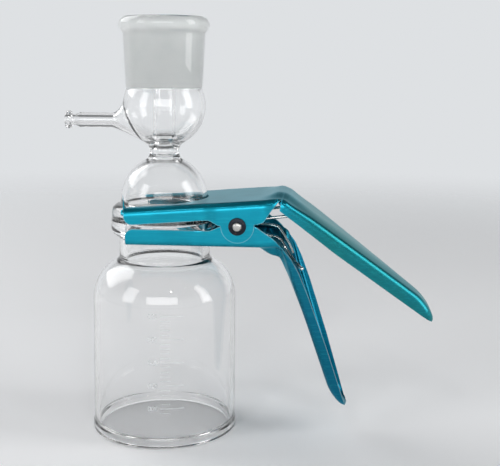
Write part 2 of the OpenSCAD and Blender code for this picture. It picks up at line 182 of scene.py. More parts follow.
def swept(name, path, radius, body, sides=20):
    """A round tube along a path with domed ends: each ring stands square to the path, its frame carried
    on without twist."""
    path = np.asarray(path, float)
    t = np.gradient(path, axis=0)
    t /= np.linalg.norm(t, axis=1)[:, None]
    up = np.zeros_like(t)
    u = np.cross(t[0], [0.3, 0.2, 0.9])
    for i in range(len(t)):
        u = u - (u @ t[i]) * t[i]
        u /= np.linalg.norm(u)
        up[i] = u
    side = np.cross(t, up)
    r = np.broadcast_to(np.asarray(radius, float), (len(path),))
    k = np.radians(np.linspace(90, 0, CAP_RINGS + 1)[:-1])
    path = np.concatenate([path[0] - t[0] * (r[0] * np.sin(k))[:, None], path,
                           path[-1] + t[-1] * (r[-1] * np.sin(k[::-1]))[:, None]])
    up, side = (np.concatenate([np.repeat(v[:1], CAP_RINGS, 0), v, np.repeat(v[-1:], CAP_RINGS, 0)])
                for v in (up, side))
    r = np.concatenate([r[0] * np.cos(k), r, r[-1] * np.cos(k[::-1])])
    a = around(sides)
    co = (path[:, None] + r[:, None, None] * (np.cos(a)[None, :, None] * up[:, None]
                                            + np.sin(a)[None, :, None] * side[:, None]))
    return skin(name, co, False, body)


def baked(obj):
    """The object's modifiers made part of its mesh."""
    dg = bpy.context.evaluated_depsgraph_get()
    mesh = bpy.data.meshes.new_from_object(obj.evaluated_get(dg))
    obj.modifiers.clear()
    obj.data = mesh


def cut(obj, tool, operation="DIFFERENCE"):
    """Exact Boolean of obj with tool, tool then removed."""
    m = obj.modifiers.new("cut", "BOOLEAN")
    m.solver, m.operation, m.object = "EXACT", operation, tool
    baked(obj)
    bpy.data.objects.remove(tool)


def values(items, name, per=1, kind=float):
    """One property of every item of a mesh's list, per numbers each."""
    out = np.zeros(len(items) * per, kind)
    items.foreach_get(name, out)
    return out.reshape(-1, per) if per > 1 else out


def points_of(mesh):
    """The mesh's points in millimetres."""
    return values(mesh.vertices, "co", 3) / MM


def marked(mesh, name, domain, value):
    """A number for every point or edge, kept in the mesh under the name."""
    mesh.attributes.new(name, "FLOAT", domain).data.foreach_set("value", value)


# ------------------------------------------------------------------ shader maths
class Wire:
    """A node socket with ordinary arithmetic; every operator adds the Math node of its name."""

    def __init__(self, shader, socket):
        self.shader, self.socket = shader, socket

    def _math(self, op, *values):
        return self.shader.node("ShaderNodeMath", dict(operation=op), *values)

    def __add__(self, o): return self._math("ADD", self, o)
    def __radd__(self, o): return self._math("ADD", o, self)
    def __sub__(self, o): return self._math("SUBTRACT", self, o)
    def __rsub__(self, o): return self._math("SUBTRACT", o, self)
    def __mul__(self, o): return self._math("MULTIPLY", self, o)
    def __rmul__(self, o): return self._math("MULTIPLY", o, self)
    def __pow__(self, o): return self._math("POWER", self, o)
    def clamped(self): return self.shader.node("ShaderNodeClamp", {}, self, 0.0, 1.0)

    def smooth(self, a, b):
        """0 below a, 1 above b, with soft ends."""
        return self.shader.node("ShaderNodeMapRange", dict(interpolation_type="SMOOTHSTEP"),
                                self, a, b, 0.0, 1.0)


class Shader:
    """The node tree of a material, or of the world, with one method that adds any node."""

    def __init__(self, name, world=False):
        self.material = (bpy.data.worlds if world else bpy.data.materials).new(name)
        self.material.use_nodes = True
        self.tree = self.material.node_tree
        self.tree.nodes.clear()
        self.out = self.tree.nodes.new("ShaderNodeOutputWorld" if world else "ShaderNodeOutputMaterial")

    def node(self, kind, settings, *values, out=0, **named):
        """A node of this kind with its settings, then values or wires for its sockets in turn or by name."""
        n = self.tree.nodes.new(kind)
        for key, value in settings.items():
            setattr(n, key, value)
        pairs = list(zip([s for s in n.inputs if s.enabled], values))
        pairs += [(n.inputs[k.replace("_", " ")], v) for k, v in named.items()]
        for socket, value in pairs:
            if isinstance(value, Wire):
                self.tree.links.new(value.socket, socket)
            elif value is not None:
                socket.default_value = value
        outs = [s for s in n.outputs if s.enabled]
        return Wire(self, outs[out] if isinstance(out, int) else n.outputs[out])

    def place(self):
        """Where on the object a point is, in metres."""
        return self.node("ShaderNodeTexCoord", {}, out="Object")

    def xyz(self):
        p = self.place()
        return [self.node("ShaderNodeSeparateXYZ", {}, p, out=k) for k in range(3)]

    def attribute(self, name):
        return self.node("ShaderNodeAttribute", dict(attribute_name=name), out="Fac")

    def noise(self, where, scale, detail=2.0, rough=0.5):
        return self.node("ShaderNodeTexNoise", {}, where, Scale=scale, Detail=detail, Roughness=rough,
                         out="Fac")

    def scaled(self, where, by):
        return self.node("ShaderNodeVectorMath", dict(operation="MULTIPLY"), where, by)

    def mix(self, k, a, b):
        """Colour a where k is 0, b where it is 1."""
        n = self.tree.nodes.new("ShaderNodeMix")
        n.data_type = "RGBA"
        for socket, value in ((n.inputs["Factor"], k), (n.inputs[6], a), (n.inputs[7], b)):
            if isinstance(value, Wire):
                self.tree.links.new(value.socket, socket)
            else:
                socket.default_value = value if socket.type != "RGBA" else (*value, 1.0)
        return Wire(self, n.outputs[2])

    def bump(self, height, strength, distance):
        return self.node("ShaderNodeBump", {}, Height=height, Strength=strength, Distance=distance)

    def surface(self, wire):
        self.tree.links.new(wire.socket, self.out.inputs["Surface"])
        return self.material


def principled(s, color, **named):
    """A Principled surface; spaces in its sockets' names are underscores here."""
    if isinstance(color, tuple):
        color = (*color, 1.0)
    return s.node("ShaderNodeBsdfPrincipled", {}, Base_Color=color, **named)


# ------------------------------------------------------------------ materials
GLASS_IOR = 1.472


def wavy_glass(s, p, roughness):
    """Clear borosilicate glass with the faintest waviness."""
    wave = s.noise(s.scaled(p, (1.0, 1.0, 0.4)), 38.0, 1.0)
    return principled(s, (1.0, 1.0, 1.0), Transmission_Weight=1.0, IOR=GLASS_IOR, Roughness=roughness,
                      Normal=s.bump(wave, 0.06, 0.0004))


def clear_glass():
    """Clear glass with small handling marks."""
    s = Shader("clear_glass")
    p = s.place()
    marks = s.noise(p, 900.0, 3.0, 0.6).smooth(0.62, 0.8)
    return s.surface(wavy_glass(s, p, marks * 0.02))


def base_glass():
    """Clear glass whose ground zone, marked by the mesh's own attribute, is a matt white frost."""
    s = Shader("base_glass")
    p = s.place()
    ground = s.attribute("ground")
    grain = s.noise(p, 5200.0, 2.0, 0.6)
    cloud = s.noise(p, 120.0, 3.0, 0.55)
    clear = wavy_glass(s, p, 0.0)
    tone = s.mix(cloud.smooth(0.3, 0.8), (0.89, 0.91, 0.90), (0.81, 0.84, 0.83))
    frost = principled(s, tone, Transmission_Weight=0.35, IOR=GLASS_IOR,
                       Roughness=0.55 + 0.15 * cloud, Normal=s.bump(grain, 0.35, 0.0002))
    k = ground * (0.90 + 0.10 * cloud)
    return s.surface(s.node("ShaderNodeMixShader", {}, k, clear, frost))


def sintered_glass():
    """White sintered glass: packed grains of a tenth of a millimetre with small pores between."""
    s = Shader("sintered_glass")
    p = s.place()
    grains = s.node("ShaderNodeTexVoronoi", dict(feature="F1"), p, Scale=2600.0, out="Distance")
    cloud = s.noise(p, 160.0, 3.0, 0.6)
    pores = grains.smooth(0.35, 0.75)
    col = s.mix((pores * 0.5 + cloud * 0.3).clamped(), (0.93, 0.94, 0.92), (0.74, 0.76, 0.75))
    return s.surface(principled(s, col, Roughness=0.75 + 0.2 * pores, Specular_IOR_Level=0.4,
                                Normal=s.bump(1.0 - grains, 0.6, 0.0003)))


def anodised(name, dye, handle_shade_dye, start, end):
    """Bright anodised aluminium: cloudy dye, darker from the jaw to the handle as painted shade, fine
    rolling lines, small rubbed scratches, and a lighter hair line along the sheet's edge, worn bare metal
    and a painted highlight."""
    s = Shader(name)
    p = s.place()
    x = s.xyz()[0]
    cloud = s.noise(p, 42.0, 4.0, 0.55)
    rolling = s.noise(s.scaled(p, (60.0, 1500.0, 1500.0)), 1.0, 2.0, 0.5)
    fine = s.noise(p, 2600.0, 2.0, 0.5)
    scratch = s.noise(s.scaled(p, (90.0, 700.0, 2400.0)), 1.0, 4.0, 0.7).smooth(0.66, 0.74)
    rim = s.attribute("rim")
    # a lighter hair line within about a third of a millimetre of the rim: worn bare metal, and also a
    # painted highlight along the sheet's edge
    worn_edge_and_highlight = 1.0 - (rim + (fine - 0.5) * 0.25).smooth(0.08, 0.34)
    # toward the handle the colour turns to the second, darker dye: painted shade standing in for the darker
    # reflections of the handle's slanted flanges
    col = s.mix((x + (cloud - 0.5) * 0.03).smooth(start, end), dye, handle_shade_dye)
    col = s.mix(cloud.smooth(0.35, 0.75) * 0.5, col, tuple(c * 0.62 for c in dye))
    col = s.mix(rolling.smooth(0.45, 0.8) * 0.16, col, (0.03, 0.62, 0.70))
    col = s.mix(scratch * 0.15, col, (0.35, 0.65, 0.66))
    col = s.mix(worn_edge_and_highlight * 0.30, col, (0.50, 0.74, 0.75))
    rough = 0.24 + 0.07 * cloud + 0.06 * rolling + 0.12 * worn_edge_and_highlight
    return s.surface(principled(s, col, Metallic=1.0, Roughness=rough, Coat_Weight=0.15,
                                Coat_Roughness=0.14, Specular_Tint=(0.72, 0.98, 1.0, 1.0),
                                Normal=s.bump(rolling * 0.6 + fine * 0.4, 0.07, 0.0002)))


def pin_steel():
    """Ground steel with fine turned rings."""
    s = Shader("pin_steel")
    p = s.place()
    x, _, z = s.xyz()
    r = ((x - PIVOT[0] * MM) ** 2.0 + (z - PIVOT[2] * MM) ** 2.0) ** 0.5
    rings = s.noise(p, 400.0, 2.0)
    turned = s.node("ShaderNodeTexNoise", dict(noise_dimensions="1D"), W=r * 9000.0, Scale=1.0,
                    Detail=2.0, out="Fac")
    col = s.mix(rings, (0.40, 0.40, 0.39), (0.55, 0.54, 0.52))
    return s.surface(principled(s, col, Metallic=1.0, Roughness=0.22 + 0.15 * turned,
                                Normal=s.bump(turned, 0.1, 0.0001)))


def ring_steel():
    """Blackened steel, browned with rust in patches."""
    s = Shader("ring_steel")
    p = s.place()
    patch = s.noise(p, 520.0, 4.0, 0.65)
    rust = patch.smooth(0.56, 0.70)
    col = s.mix(rust, (0.010, 0.014, 0.022), (0.10, 0.045, 0.022))
    return s.surface(principled(s, col, Metallic=0.75 - 0.6 * rust, Roughness=0.38 + 0.35 * rust,
                                Normal=s.bump(patch, 0.3, 0.0003)))


def spring_wire():
    """Bright drawn wire, a little tarnished."""
    s = Shader("spring_wire")
    p = s.place()
    tarnish = s.noise(p, 240.0, 3.0, 0.6)
    col = s.mix(tarnish.smooth(0.5, 0.75), (0.80, 0.79, 0.76), (0.50, 0.47, 0.43))
    return s.surface(principled(s, col, Metallic=1.0, Roughness=0.16 + 0.2 * tarnish))


def white_print():
    """Fired white enamel printing, slightly thin in places."""
    s = Shader("white_print")
    p = s.place()
    thin = s.noise(p, 1500.0, 3.0, 0.6)
    col = s.mix(thin, (0.60, 0.62, 0.63), (0.72, 0.74, 0.75))
    return s.surface(principled(s, col, Roughness=0.5 + 0.2 * thin, Alpha=0.6 + 0.3 * thin,
                                Normal=s.bump(thin, 0.2, 0.00005)))


def floor_paper():
    """Plain pale paper, faintly uneven, which thins out to nothing between 0.35 and 1.4 m away."""
    s = Shader("floor_paper")
    p = s.place()
    x, y, _ = s.xyz()
    cloud = s.noise(p, 3.0, 2.0)
    col = s.mix(cloud, (0.90, 0.91, 0.92), (0.92, 0.92, 0.93))
    paper = principled(s, col, Roughness=0.8 + 0.05 * cloud)
    away = (x * x + y * y) ** 0.5
    return s.surface(s.node("ShaderNodeMixShader", {}, away.smooth(0.35, 1.4), paper,
                            s.node("ShaderNodeBsdfTransparent", {})))


def studio_light():
    """A white room with a dark ceiling: even up to about 7 degrees above the horizon and all the way
    below it, falling as a smooth step to a dim zenith above 31 degrees."""
    s = Shader("studio", world=True)
    way = s.node("ShaderNodeTexCoord", {}, out="Generated")
    up = s.node("ShaderNodeSeparateXYZ", {}, way, out=2)
    level = 0.77 - 0.59 * up.smooth(0.13, 0.52)
    return s.surface(s.node("ShaderNodeBackground", {}, (0.95, 0.975, 1.0, 1.0), level))


def dressed(obj, material):
    """The object with this material alone."""
    obj.data.materials.clear()
    obj.data.materials.append(material)
    return obj


# ------------------------------------------------------------------ glass
def funnel():
    """Cup with beaded mouth, round shoulder, neck and ground flange, wall turned from one closed profile.

    Shoulder and its bore are quarter circles about (c, SHOULDER_Z); a hollow of NECK_BLEND about
    (fx, fz) touches the shoulder and the neck.
    """
    c = CUP_R - SHOULDER_R
    inner = SHOULDER_R - CUP_WALL
    fx = NECK_R + NECK_BLEND
    fz = SHOULDER_Z + math.sqrt((SHOULDER_R + NECK_BLEND) ** 2 - (fx - c) ** 2)
    touch = math.degrees(math.atan2(fz - SHOULDER_Z, fx - c))
    low = SEAM_Z - FUNNEL_FLANGE_T
    bead_top, cup_foot, cup_mid = 4.0, 5.2, 12
    outer = np.concatenate([
        filleted([(MOUTH_IN, 2.3, 0), (MOUTH_IN, 0, 1.4), (MOUTH_R, 0, 1.1),
                  (MOUTH_R, bead_top, 1.6), (CUP_R, cup_foot, 2.2), (CUP_R, cup_mid, 0)]),
        arc(c, SHOULDER_Z, SHOULDER_R, 0, touch, 48),
        arc(fx, fz, NECK_BLEND, touch + 180, 180, 12),
        filleted([(NECK_R, low - 6, 0), (NECK_R, low, 2.2), (FUNNEL_FLANGE_R, low, 3.0),
                  (FUNNEL_FLANGE_R, SEAM_Z, 0.6), (NECK_BORE, SEAM_Z, 0.7)]),
    ])
    bore = np.concatenate([
        filleted([(NECK_BORE, SEAM_Z - 2, 0),
                  (NECK_BORE, SHOULDER_Z + math.sqrt(inner ** 2 - (NECK_BORE - c) ** 2), 1.5),
                  (*arc(c, SHOULDER_Z, inner, 63, 63, 1)[0], 0)])[:-1],
        arc(c, SHOULDER_Z, inner, 61, 0, 40),
        filleted([(CUP_R - CUP_WALL, 20, 0), (CUP_R - CUP_WALL, 5.4, 3.0),
                  (MOUTH_IN, 3.2, 2.0), (MOUTH_IN, 2.4, 0)]),
    ])
    return revolved("funnel_glass", resampled(np.concatenate([outer, bore]), STEP),
                    "glassware")


def base_profile():
    """Closed (radius, height) profile of the filter base without its arm, and its ground zone's heights.

    Dome and bulb are circles about the axis, joined through the throat by an arc that touches both.
    """
    gx = THROAT_R + THROAT_GROOVE
    top = SEAM_Z + BASE_FLANGE_T
    dome_end = math.degrees(math.atan2(THROAT_Z - DOME_Z, gx))
    bulb_start = -math.degrees(math.atan2(BULB_Z - THROAT_Z, gx))
    dome_start = math.degrees(math.asin((top + 0.6 - DOME_Z) / DOME_R))
    ground = TOP_Z - SOCKET_LEN - 2
    bulb_end = math.degrees(math.asin((ground - 1.0 - BULB_Z) / BULB_R))
    bead_x, bead_z = BEAD_R - BEAD_C, TOP_Z - BEAD_C + 0.2
    outer = np.concatenate([
        filleted([(FRIT_R, SEAM_Z, 0), (BASE_FLANGE_R, SEAM_Z, 0.6), (BASE_FLANGE_R, top, 3.5),
                  (DOME_R * math.cos(math.radians(dome_start)) + 0.2, top, 1.0),
                  (*arc(0, DOME_Z, DOME_R, dome_start + 6, 0, 1)[0], 0)]),
        arc(0, DOME_Z, DOME_R, dome_start + 8, dome_end, 44),
        arc(gx, THROAT_Z, THROAT_GROOVE, 180 + dome_end, 180 + bulb_start, 22)[1:],
        arc(0, BULB_Z, BULB_R, bulb_start, bulb_end, 60)[1:],
        filleted([(SOCKET_LOW, ground + 1.5, 0), (SOCKET_HIGH - 0.2, TOP_Z - 8.6, 1.2),
                  (*arc(bead_x, bead_z, BEAD_C, -44, 0, 1)[0], 0)]),
        arc(bead_x, bead_z, BEAD_C, -40, 66, 22),
        filleted([(bead_x + 1.7, TOP_Z - 0.05, 0), (SOCKET_BORE + 0.9, TOP_Z - 0.05, 0.5),
                  (SOCKET_BORE, TOP_Z - 2, 0)]),
    ])
    bulb_in, dome_in, root = BULB_R - BULB_WALL, DOME_R - DOME_WALL, 3.0
    high = math.degrees(math.asin((ground - 1.5 - BULB_Z) / bulb_in))
    low = math.degrees(math.acos((DRIP_R + root) / (bulb_in - root)))
    inner = np.concatenate([
        [(SOCKET_BORE - SOCKET_LEN / 20, ground)],
        arc(0, BULB_Z, bulb_in, high, -low - 3, 60),
        arc(DRIP_R + root, BULB_Z - (bulb_in - root) * math.sin(math.radians(low)), root,
            360 - low - 3, 180, 14),
        filleted([(DRIP_R, BULB_Z, 0), (DRIP_R, DRIP_END, 0.6), (DRIP_BORE, DRIP_END, 0.6),
                  (DRIP_BORE, BULB_Z, 0)]),
        filleted([(DRIP_BORE, THROAT_Z + 4, 0),
                  (DRIP_BORE, DOME_Z + math.sqrt(dome_in ** 2 - DRIP_BORE ** 2), 2.5),
                  (*arc(0, DOME_Z, dome_in, 66, 0, 1)[0], 0)]),
        arc(0, DOME_Z, dome_in, 64, 0, 40),
        arc(0, DOME_Z, dome_in, -1, -9, 5),
        filleted([(FRIT_R + 0.2, SEAM_Z + FRIT_T + 4, 1.0), (FRIT_R, SEAM_Z + FRIT_T + 1, 0)]),
    ])
    return np.concatenate([outer, inner]), (ground, TOP_Z - 2)


def arm_profile():
    """(distance from the axis along the arm, radius) of the arm's outside beyond its blown root:
    tube, hose groove, and the bead at its end."""
    groove_r, bead_r = 2.9, 4.7
    return filleted([(ARM_ROOT, ARM_R, 0), (46.0, ARM_R, 1.2), (48.2, groove_r, 1.0), (50.6, groove_r, 0.5),
                     (50.8, bead_r, 0.7), (ARM_END - 0.02, bead_r, 1.1), (ARM_END, ARM_BORE, 0)], 6)


def along_arm(profile, sides=96):
    """A (distance, radius) profile turned about the arm's axis to -X: (-d, r sin a, r cos a)."""
    a = around(sides)
    return np.stack([np.broadcast_to(-profile[:, 0, None], (len(profile), sides)),
                     profile[:, 1, None] * np.sin(a),
                     ARM_Z + profile[:, 1, None] * np.cos(a)], -1)


def blown_root(tube_r, ball_r, spread, sides=96, n=26):
    """The swelling where the arm grows out of the bulb, from the tube's ring to a patch of the ball.

    The patch is centred PATCH_LOW degrees below the arm's side of the ball and reaches PATCH_HIGH
    degrees up and down and PATCH_WIDE degrees sideways, less spread.  For each angle round the tube
    a Hermite curve leaves the tube along its axis and meets the ball along the ball's own surface.
    The last rows run on over the patch, PATCH_DEPTH below the ball's surface, to its middle.
    """
    a = around(sides)
    el = math.radians(-PATCH_LOW)
    mid = np.array([-math.cos(el), 0, math.sin(el)])
    up = np.array([math.sin(el), 0, math.cos(el)])
    way = np.cos(a)[:, None] * up + np.sin(a)[:, None] * np.array([0.0, 1.0, 0.0])
    rho = 1 / np.sqrt((np.cos(a) / math.radians(PATCH_HIGH - spread)) ** 2
                      + (np.sin(a) / math.radians(PATCH_WIDE - spread)) ** 2)
    ball = np.array([0, 0, BULB_Z])
    rho = rho[:, None]
    radial = np.cos(rho) * mid + np.sin(rho) * way
    p0 = np.stack([0 * a - ARM_ROOT, tube_r * np.sin(a), ARM_Z + tube_r * np.cos(a)], 1)
    p1 = ball + (ball_r - SUNK) * radial
    out = -np.sin(rho) * mid + np.cos(rho) * way - DIVE * radial
    d = np.linalg.norm(p1 - p0, axis=1)[:, None]
    m0 = d * (TUBE_PULL[0] + TUBE_PULL[1] * np.cos(a)[:, None]) * np.array([1.0, 0, 0])
    m1 = d * (BALL_PULL[0] + BALL_PULL[1] * np.cos(a)[:, None]) * out
    rows = hermite(np.linspace(0, 1, n)[:, None, None], p0, m0, p1, m1)
    k = np.linspace(0.97, 0, 9)[:, None, None]
    cap = ball + (ball_r - PATCH_DEPTH) * (np.cos(rho * k) * mid + np.sin(rho * k) * way)
    return np.concatenate([rows, cap])[::-1]


def arm_tool(name, root, profile):
    """A closed body from the blown root and the profile turned about the arm's axis."""
    return skin(name, np.concatenate([root, along_arm(profile)]), False, "glassware")


def filter_base():
    """The base's revolve with the hollow arm joined to it, and the ground zone marked."""
    profile, (ground_low, ground_high) = base_profile()
    obj = revolved("filter_base_glass", resampled(profile, STEP), "glassware")
    arm = np.concatenate([resampled(arm_profile(), 1.2)[1:], [(ARM_END, 0.0)]])
    cut(obj, arm_tool("arm_tool", blown_root(ARM_R, BULB_R, 0.0), arm), "UNION")
    flare = ARM_BORE + 0.7
    bore = np.array([(ARM_ROOT, ARM_BORE), (ARM_END - 0.8, ARM_BORE), (ARM_END + 0.4, flare),
                     (ARM_END + 2, flare), (ARM_END + 2, 0)], float)
    cut(obj, arm_tool("bore_tool", blown_root(ARM_BORE, BULB_R - BULB_WALL, 3.0), resampled(bore, 1.5)[1:]))
    mesh = obj.data
    v = points_of(mesh)
    r, z = np.hypot(v[:, 0], v[:, 1]), v[:, 2]
    socket_r = SOCKET_BORE - (TOP_Z - 2 - z) / 20
    ground = ((z > ground_low - 0.2) & (z < ground_high + 0.2) & (np.abs(r - socket_r) < 0.5)).astype(float)
    marked(mesh, "ground", "POINT", ground)
    mesh.polygons.foreach_set("use_smooth", [True] * len(mesh.polygons))
    return obj


# ------------------------------------------------------------------ clamp levers
def smoothstep(x, a, b):
    """0 at a and below, 1 at b and above, 3u^2 - 2u^3 between."""
    u = np.clip((x - a) / (b - a), 0, 1)
    return u * u * (3 - 2 * u)


def curve(x, points):
    """A smooth line through the (x, value) points: cubic pieces, slopes from the points' chords."""
    px, pv = np.array(points, float).T
    m = np.gradient(pv, px)
    m[0] = m[-1] = 0
    x = np.clip(x, px[0], px[-1])
    i = np.clip(np.searchsorted(px, x, side="right") - 1, 0, len(px) - 2)
    h = px[i + 1] - px[i]
    return hermite((x - px[i]) / h, pv[i], h * m[i], pv[i + 1], h * m[i + 1])


JAW, SLOT_R, LOBE_R, FLANGE, TIP_R, NOSE_R = 58.4, 24.9, 8.6, 8.4, 9.5, 30.0
JAW_ROUND, SLOT_FLARE, EDGE_ROUND = 5.0, 2.0, 4.2   # roundings at the jaw's tip
TAPER_FROM, LEAN, DENSE_TO = 3.0, 30.0, 14.0        # along the handle from the bend's corner
ROOT_SIDE, ROOT_RUN = 0.5, 2.0                      # how low, and over what length, its flange starts
LEAST_FOLD, LEAST_SIDE, LEAST_FLAT = 1.65, 0.4, 0.12
STEP_OUT, DRAW_IN = (-18, -9), 12       # x where the sides step out, and from where they draw in
FOLD_GROWS, FOLD_HELD = (-16, 2), -10   # way over which the fold's radius changes; held down before
FOLD_SHARE = 0.85                       # of the flange's height that the fold may take
BROW_FROM = 0.6                         # in fold radii in from the side
CROWN_GROWS, CROWN_WIDE = (4, 20), 0.6  # way over which brow becomes crown; its width in root_half


def slot_edge(x):
    """Half width of the horseshoe slot at x: the glass's round, then straight, rounded open at the tip."""
    off_centre = np.minimum(np.abs(x + PIVOT[0]), SLOT_R)
    y = np.where(x < -PIVOT[0], SLOT_R, np.sqrt(np.maximum(SLOT_R ** 2 - off_centre ** 2, 0)))
    tip = np.clip(-(x + JAW - JAW_ROUND) / JAW_ROUND, 0, 1)
    return y + SLOT_FLARE * (1 - np.sqrt(1 - tip ** 2))


def side_edge(x, web, ear):
    """Height of the side flange's edge beside the pin: round at the jaw's tip, flat, a V, the lobe, then
    up to the notch.  The lobe is the circle -sqrt(r^2 - x^2); ear holds the points of the way up.
    """
    edge = web - FLANGE
    v_start, v_end, v_top = -15.5, -8.2, 0.6
    z = edge + EDGE_ROUND - np.sqrt(EDGE_ROUND ** 2 - np.clip(EDGE_ROUND - (x + JAW), 0, EDGE_ROUND) ** 2)
    z = np.where(x > v_start, edge + (v_top - edge) * smoothstep(x, v_start, v_end), z)
    z = np.where(np.abs(x) < LOBE_R, -np.sqrt(np.maximum(LOBE_R ** 2 - x ** 2, 0)), z)
    return np.where(x >= LOBE_R, np.interp(x, *np.array(ear, float).T), z)


class Pressing:
    """The outer surface of a pressed lever, drawn beside the pin, web upward and handle to +X.

    Its rows follow the web line: jaw, bend, handle and round tip.  web is the web's height over the
    pin, half and root_half the half widths of jaw and handle, joggle how far the jaw stands inside the
    ears.  bend is the bend's angle in degrees, outward above 0, bend_r the radius of its arc, which
    touches both web lines meeting at corner, and length the handle's from there.  fold gives the
    folds' radii on jaw and handle, ear the way up of the side flange, root where the handle's flange
    starts and depths its height along the handle.
    """

    def __init__(self, **sizes):
        vars(self).update(sizes)
        self.out = self.bend > 0
        self.sgn = 1 if self.out else -1
        self.angle = math.radians(abs(self.bend))
        self.reach = self.bend_r * math.tan(self.angle / 2)
        self.dx, self.dz = math.cos(self.angle), -self.sgn * math.sin(self.angle)
        self.tip_at = self.length - TIP_R
        self.taper = (math.acos(TIP_R / math.hypot(self.root_half, self.tip_at))
                      - math.atan2(self.tip_at, self.root_half))

    def flange_height(self, s):
        """The handle's flange, grown past root as a quarter ellipse where the handle bends outward."""
        k = np.clip((s - self.root) / ROOT_RUN, 0, 1) if self.out else np.ones_like(s)
        full = np.interp(s, *np.array(self.depths, float).T)
        return ROOT_SIDE + (full - ROOT_SIDE) * np.sqrt(1 - (1 - k) ** 2)

    # Each of the next four gives, for its rows: x and z, slant of the web, turn about the web's
    # normal, inner and outer half width, flange height, and way from the bend's corner.
    def jaw_rows(self):
        """Straight web, rows closer together along the jaw's tip, the slot's round and the lobe."""
        quarter = math.pi / 2
        x = np.concatenate([-JAW + JAW_ROUND * (1 - np.cos(np.linspace(0, quarter, 12))),
                            np.linspace(-JAW + JAW_ROUND, -PIVOT[0], 10)[1:],
                            -PIVOT[0] + SLOT_R * np.sin(np.linspace(0, quarter, 44))[1:],
                            np.linspace(-PIVOT[0] + SLOT_R, -LOBE_R, 12)[1:],
                            LOBE_R * np.sin(np.linspace(-quarter, quarter, 40))[1:],
                            np.linspace(LOBE_R, self.corner - self.reach, 26)[1:]])
        wide = (self.half - self.joggle * (1 - smoothstep(x, *STEP_OUT))
                + (self.root_half - self.half) * smoothstep(x, DRAW_IN, self.corner))
        depth = self.web - side_edge(x, self.web, self.ear)
        return x, 0 * x + self.web, 0 * x, 0 * x, slot_edge(x), wide, depth, x - self.corner

    def bend_rows(self):
        """Round the bend's arc: (corner - reach + r sin a, web - r (1 - cos a)), mirrored when inward."""
        a = np.linspace(0, self.angle, 34)[1:]
        z = 0 * a
        x = self.corner - self.reach + self.bend_r * np.sin(a)
        height = self.web - self.sgn * self.bend_r * (1 - np.cos(a))
        s = -self.reach + (self.bend_r * a) * 2 * self.reach / (self.bend_r * self.angle)
        if self.out:
            on_ear = (self.web - side_edge(x, self.web, self.ear)) / np.cos(a)
        else:
            # down the fan of the bend to the straight line through the ear's last two corners
            (ex, ez), (gx, gz) = self.ear[-3], self.ear[-2]
            on_ear = (((gz - ez) * (ex - x) - (gx - ex) * (ez - height))
                      / ((gz - ez) * np.sin(a) + (gx - ex) * np.cos(a)))
        side = np.where(s < self.root, np.maximum(on_ear, ROOT_SIDE), self.flange_height(s))
        return x, height, self.sgn * a, z, z, z + self.root_half, side, s

    def handle_rows(self):
        """Straight handle whose sides taper to touch the round tip.  Its rows lean over the last LEAN mm
        until they stand square to the sides.
        """
        end = self.tip_at
        slope = math.tan(self.taper) * end / (end - TAPER_FROM)
        s = np.concatenate([np.linspace(self.reach, DENSE_TO, 22)[1:], np.linspace(DENSE_TO, end, 70)[1:]])
        z = 0 * s
        lean = self.taper * smoothstep(s, end - LEAN, end)
        wide = ((self.root_half - np.maximum(s - TAPER_FROM, 0) * slope)
                / (np.cos(lean) + slope * np.sin(lean)))
        return (self.corner + s * self.dx, self.web + s * self.dz, z + self.sgn * self.angle, lean, z,
                wide, self.flange_height(s), s)

    def tip_rows(self):
        """Rows of the tip's radius that turn about its centre, from square to the sides to straight on."""
        end = self.tip_at
        phi = np.linspace(self.taper, math.pi / 2, 30)[1:]
        z = 0 * phi
        return (self.corner + end * self.dx + z, self.web + end * self.dz + z, z + self.sgn * self.angle,
                phi, z, z + TIP_R, z + np.interp(end, *np.array(self.depths, float).T), z + end)

    def fall(self, s):
        """Fall of the web over the handle's last drop mm: R - sqrt(R^2 - e^2), e the way into them."""
        return NOSE_R - np.sqrt(NOSE_R ** 2 - np.clip(s - (self.length - self.drop), 0, self.drop) ** 2)

    def swollen(self, s, over, y, wide, f):
        """How far a point moves in x and z.  swell gives the move of the web's middle at the ways over; it
        fades to the folds as a smooth step brow wide at the bend, and on the handle as the crown
        1 - (1 - d)^2, d the distance from the side over the crown's width.
        """
        grow = smoothstep((wide - BROW_FROM * f - y) / self.brow, 0, 1)
        crown = 1 - (1 - np.clip((wide - y) / (CROWN_WIDE * self.root_half), 0, 1)) ** 2
        grow = grow + (crown - grow) * smoothstep(s, *CROWN_GROWS)
        return [curve(over, [(p[0], p[k]) for p in self.swell]) * grow for k in (1, 2)]

    def surface(self):
        """Points of half the lever, a row to each station.

        A section runs along the web, round a quarter circle of radius fold, and down the flange to
        its edge, which stays straight where the web falls.  Where the edge stands inside the fold the
        quarter circle is cut short.
        """
        rows = zip(self.jaw_rows(), self.bend_rows(), self.handle_rows(), self.tip_rows())
        px, pz, slant, turn, y0, wide, depth, s = (np.concatenate(v)[:, None] for v in rows)
        low = depth - self.fall(s + wide * np.sin(turn))
        f = self.fold[0] + (self.fold[1] - self.fold[0]) * smoothstep(s, *FOLD_GROWS)
        f = np.minimum(f, np.maximum(LEAST_FOLD, low * FOLD_SHARE))
        f = np.where(s < FOLD_HELD, np.minimum(f, self.fold[0]), f)

